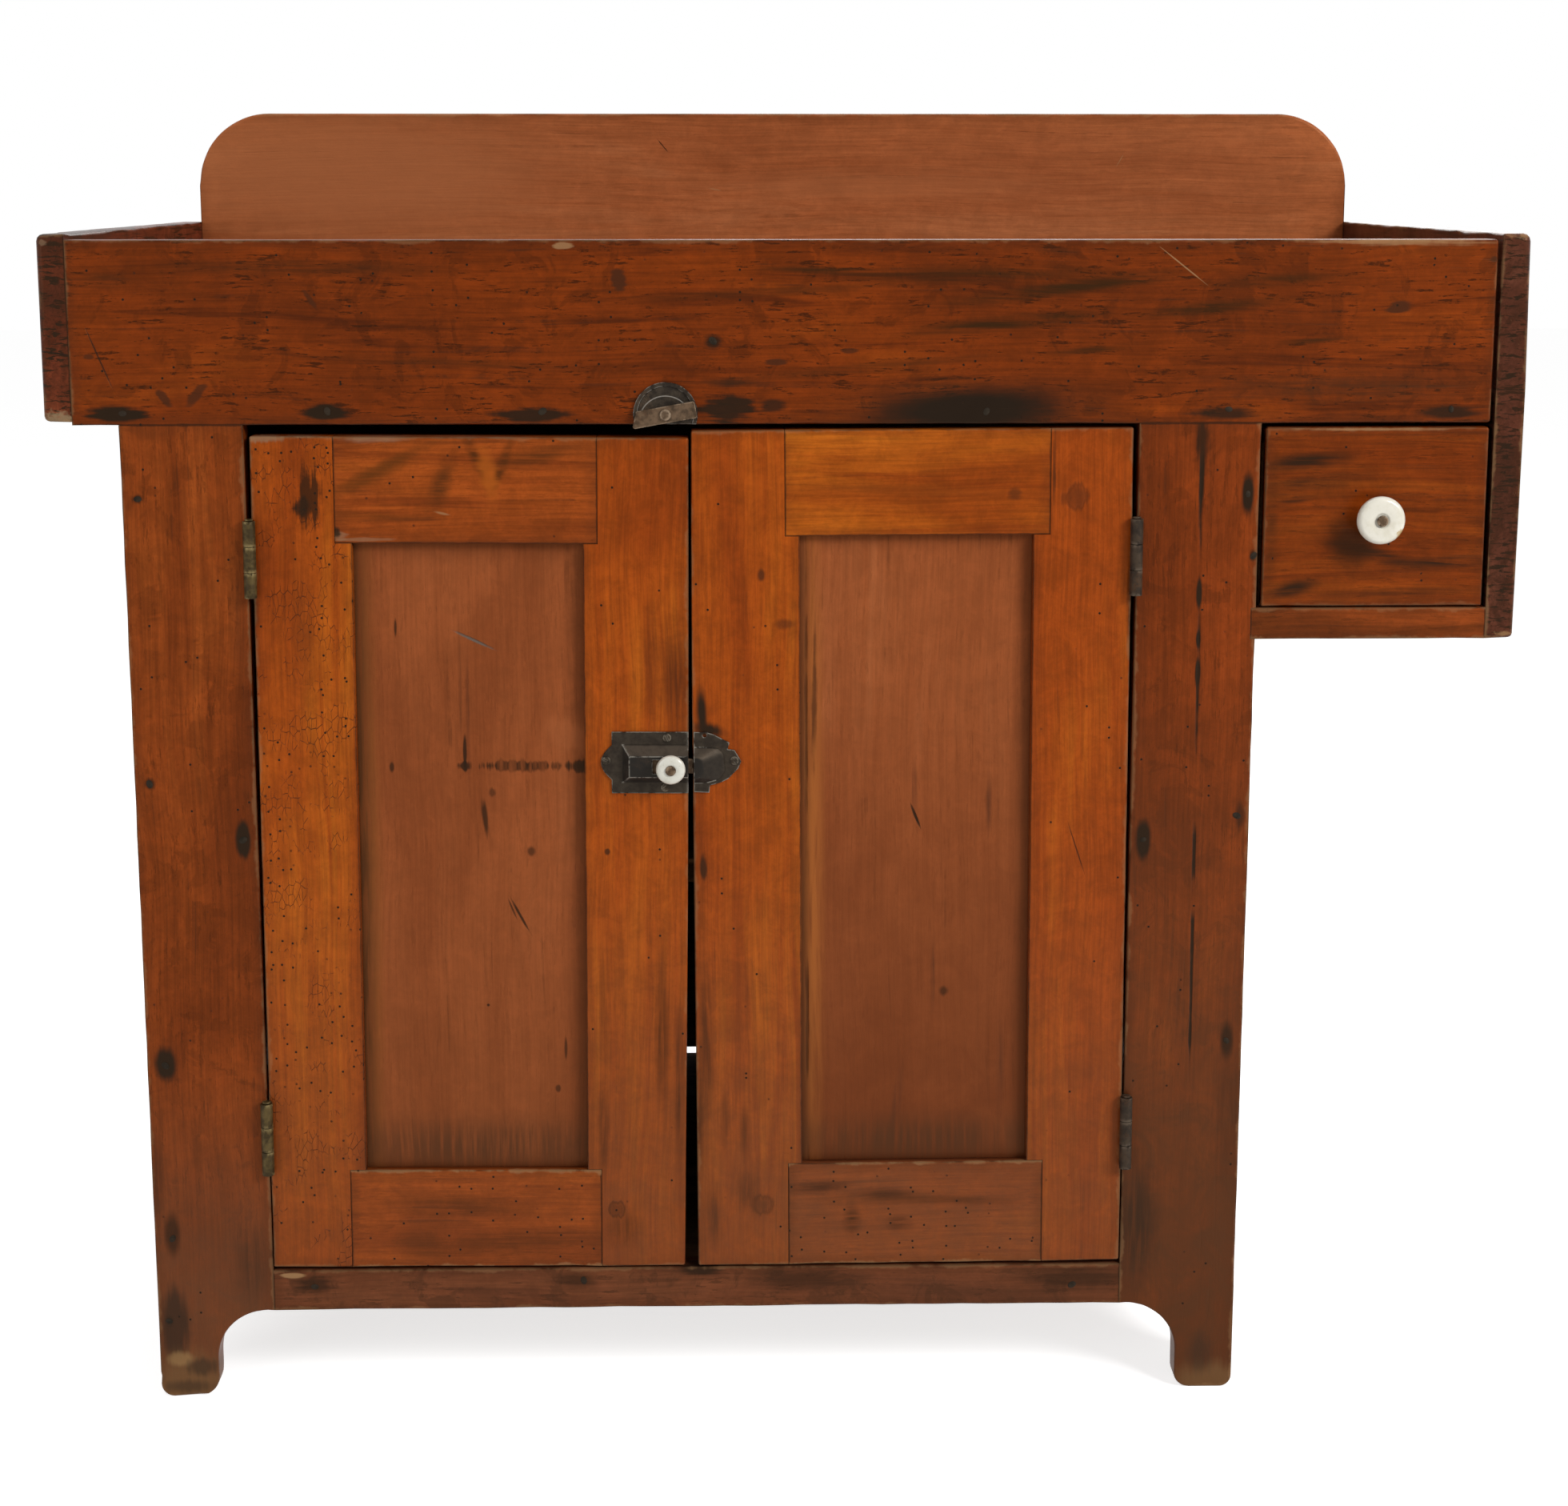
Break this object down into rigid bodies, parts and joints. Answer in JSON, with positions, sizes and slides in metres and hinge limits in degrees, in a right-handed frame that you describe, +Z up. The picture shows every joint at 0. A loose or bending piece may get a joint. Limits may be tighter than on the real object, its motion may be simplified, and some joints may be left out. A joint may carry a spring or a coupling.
{
  "type": "dry sink cabinet",
  "caption": "Dry sink: a cupboard with panelled doors, a slam latch and a turn button, under a board tray with a raised back and a drawer hung beside it",
  "frame": {"origin": "Centre of the bounding box seen from above, on the floor", "axes": "+X to the right along the doors, +Y to the rear, +Z up; the doors and drawer face -Y"},
  "size_m": [1.15, 0.5784, 1.052],
  "materials": {
    "tray_wood": "dark orange-brown old varnish over worn pine boards",
    "case_wood": "orange-brown old varnish over worn pine boards",
    "door_wood": "bright orange-brown glossy old varnish over pine",
    "panel_wood": "dull reddish-brown old varnish over pine",
    "end_wood": "dark maroon worn varnish on edge grain",
    "inner_wood": "bare aged pine",
    "iron": "dark old iron with worn bright edges and rust",
    "aged_brass": "tarnished olive-brown brass",
    "porcelain": "white glazed porcelain with fine dark specks"
  },
  "bodies": {
    "cabinet": {"left_stile": "case_wood", "right_stile": "case_wood", "apron_rail": "case_wood", "left_side": "case_wood", "right_side": "case_wood", "cabinet_floor": "inner_wood", "shelf": "inner_wood", "back_board_1": "inner_wood", "back_board_2": "inner_wood", "back_board_3": "inner_wood", "back_board_4": "inner_wood", "tray_front": "tray_wood", "tray_left_end": "end_wood", "tray_right_end": "end_wood", "backsplash": "panel_wood", "tray_floor_board_1": "tray_wood", "tray_floor_board_2": "tray_wood", "tray_floor_board_3": "tray_wood", "drawer_bay_side": "end_wood", "drawer_bay_floor": "case_wood", "drawer_bay_back": "inner_wood", "turn_button_plate": "iron", "turn_button_rivet": "iron", "left_door_lower_case_leaf": "aged_brass", "left_door_upper_case_leaf": "aged_brass", "left_door_lower_hinge_pin": "aged_brass", "left_door_upper_hinge_pin": "aged_brass", "right_door_lower_case_leaf": "iron", "right_door_upper_case_leaf": "iron", "right_door_lower_hinge_pin": "iron", "right_door_upper_hinge_pin": "iron"},
    "left_door": {"left_door_hinge_stile": "door_wood", "left_door_lock_stile": "door_wood", "left_door_bottom_rail": "door_wood", "left_door_top_rail": "door_wood", "left_door_panel": "panel_wood", "left_door_lower_door_leaf": "aged_brass", "left_door_upper_door_leaf": "aged_brass", "latch_case": "iron", "latch_spring": "iron"},
    "latch": {"latch_bolt": "iron", "latch_knob": "porcelain", "latch_knob_rivet": "iron"},
    "right_door": {"right_door_hinge_stile": "door_wood", "right_door_lock_stile": "door_wood", "right_door_bottom_rail": "door_wood", "right_door_top_rail": "door_wood", "right_door_panel": "panel_wood", "right_door_lower_door_leaf": "iron", "right_door_upper_door_leaf": "iron", "latch_keeper": "iron"},
    "drawer": {"drawer_front": "tray_wood", "drawer_left_side": "inner_wood", "drawer_right_side": "inner_wood", "drawer_back": "inner_wood", "drawer_bottom": "inner_wood", "drawer_knob": "porcelain", "drawer_knob_screw": "iron"},
    "turn_button": {"turn_button_bar": "iron"}
  },
  "joints": [
    {"name": "left_door_hinge", "type": "hinge", "parent": "cabinet", "child": "left_door", "pos_m": [-0.4224, -0.26805, 0.11281], "axis": [-0.0056, 0, -1], "range_deg": [0, 165]},
    {"name": "right_door_hinge", "type": "hinge", "parent": "cabinet", "child": "right_door", "pos_m": [0.2762, -0.26805, 0.11282], "axis": [-0.0052, 0, 1], "range_deg": [0, 100]},
    {"name": "drawer_slide", "type": "slide", "parent": "cabinet", "child": "drawer", "axis": [0, -1, 0], "range_m": [0, 0.38]},
    {"name": "latch_slide", "type": "slide", "parent": "left_door", "child": "latch", "axis": [-1, 0, 0.0056], "range_m": [0, 0.009], "stiffness_N_per_m": 400},
    {"name": "turn_button_hinge", "type": "hinge", "parent": "cabinet", "child": "turn_button", "pos_m": [-0.095, -0.26275, 0.8113], "axis": [0, -1, 0], "range_deg": [0, 160]}
  ]
}
